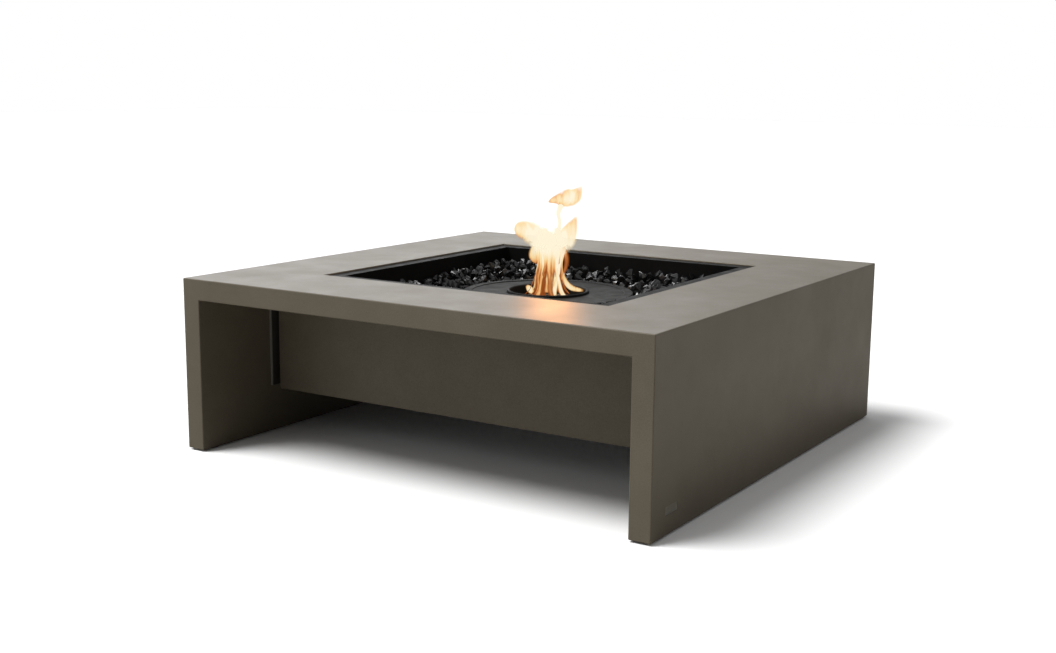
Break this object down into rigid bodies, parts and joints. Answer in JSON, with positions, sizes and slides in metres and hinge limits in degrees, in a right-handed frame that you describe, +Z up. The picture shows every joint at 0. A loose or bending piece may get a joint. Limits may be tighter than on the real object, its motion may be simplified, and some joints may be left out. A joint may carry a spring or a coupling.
{
  "type": "fire table",
  "caption": "Low square concrete fire table on two full-depth legs, with a drop-in steel fire tray, black glass bed and a round lift-out burner with a grate.",
  "frame": {"origin": "on the ground under the middle of the table", "axes": "+Z up, +X along the front face to the right, -Y out of the front face"},
  "size_m": [1, 1, 0.333],
  "materials": {
    "concrete": "warm grey fine cast concrete, sealed satin",
    "black_steel": "matt black powder coat on steel",
    "burner_steel": "heat-resistant dark grey coat on steel, satin",
    "stainless": "brushed stainless steel, heat-tinted",
    "black_glass": "broken black fire glass, glossy facets",
    "ceramic_fibre": "soft white ceramic fibre wadding",
    "zinc": "zinc-plated steel",
    "nylon": "matt black nylon",
    "badge_metal": "satin anodised, blank"
  },
  "bodies": {
    "table": {"concrete_shell": "concrete", "skirt_front": "concrete", "skirt_back": "concrete", "badge_plate": "badge_metal", "skirt_bracket_front_left": "black_steel", "skirt_bracket_front_right": "black_steel", "skirt_bracket_back_left": "black_steel", "skirt_bracket_back_right": "black_steel", "foot_insert_front_left": "zinc", "foot_insert_front_right": "zinc", "foot_insert_back_left": "zinc", "foot_insert_back_right": "zinc", "leg_ferrule_front_left_1": "zinc", "leg_ferrule_front_left_2": "zinc", "leg_ferrule_back_left_1": "zinc", "leg_ferrule_back_left_2": "zinc", "leg_ferrule_front_right_1": "zinc", "leg_ferrule_front_right_2": "zinc", "leg_ferrule_back_right_1": "zinc", "leg_ferrule_back_right_2": "zinc", "leg_bolt_front_left_1": "zinc", "leg_bolt_front_left_2": "zinc", "leg_bolt_back_left_1": "zinc", "leg_bolt_back_left_2": "zinc", "leg_bolt_front_right_1": "zinc", "leg_bolt_front_right_2": "zinc", "leg_bolt_back_right_1": "zinc", "leg_bolt_back_right_2": "zinc", "skirt_screw_front_left_1": "zinc", "skirt_screw_front_left_2": "zinc", "skirt_screw_back_left_1": "zinc", "skirt_screw_back_left_2": "zinc", "skirt_screw_front_right_1": "zinc", "skirt_screw_front_right_2": "zinc", "skirt_screw_back_right_1": "zinc", "skirt_screw_back_right_2": "zinc"},
    "fire_tray": {"fire_tray": "black_steel", "glass_bed": "black_glass"},
    "burner": {"burner_plate": "burner_steel", "burner_lip": "burner_steel", "burner_can": "stainless", "fuel_cup": "stainless", "ceramic_fibre_pad": "ceramic_fibre"},
    "grate": {"burner_grate": "stainless"},
    "foot_front_left": {"foot_front_left": "nylon"},
    "foot_front_right": {"foot_front_right": "nylon"},
    "foot_back_left": {"foot_back_left": "nylon"},
    "foot_back_right": {"foot_back_right": "nylon"}
  },
  "joints": [
    {"name": "tray_lift", "type": "slide", "parent": "table", "child": "fire_tray", "axis": [0, 0, 1], "range_m": [0, 0.2]},
    {"name": "burner_lift", "type": "slide", "parent": "fire_tray", "child": "burner", "axis": [0, 0, 1], "range_m": [0, 0.15]},
    {"name": "grate_lift", "type": "slide", "parent": "burner", "child": "grate", "axis": [0, 0, 1], "range_m": [0, 0.06]},
    {"name": "foot_front_left_turn", "type": "hinge", "parent": "table", "child": "foot_front_left", "pos_m": [-0.48, -0.46, 0], "axis": [0, 0, 1], "range_deg": [0, 1440]},
    {"name": "foot_front_right_turn", "type": "hinge", "parent": "table", "child": "foot_front_right", "pos_m": [0.48, -0.46, 0], "axis": [0, 0, 1], "range_deg": [0, 1440]},
    {"name": "foot_back_left_turn", "type": "hinge", "parent": "table", "child": "foot_back_left", "pos_m": [-0.48, 0.46, 0], "axis": [0, 0, 1], "range_deg": [0, 1440]},
    {"name": "foot_back_right_turn", "type": "hinge", "parent": "table", "child": "foot_back_right", "pos_m": [0.48, 0.46, 0], "axis": [0, 0, 1], "range_deg": [0, 1440]}
  ]
}
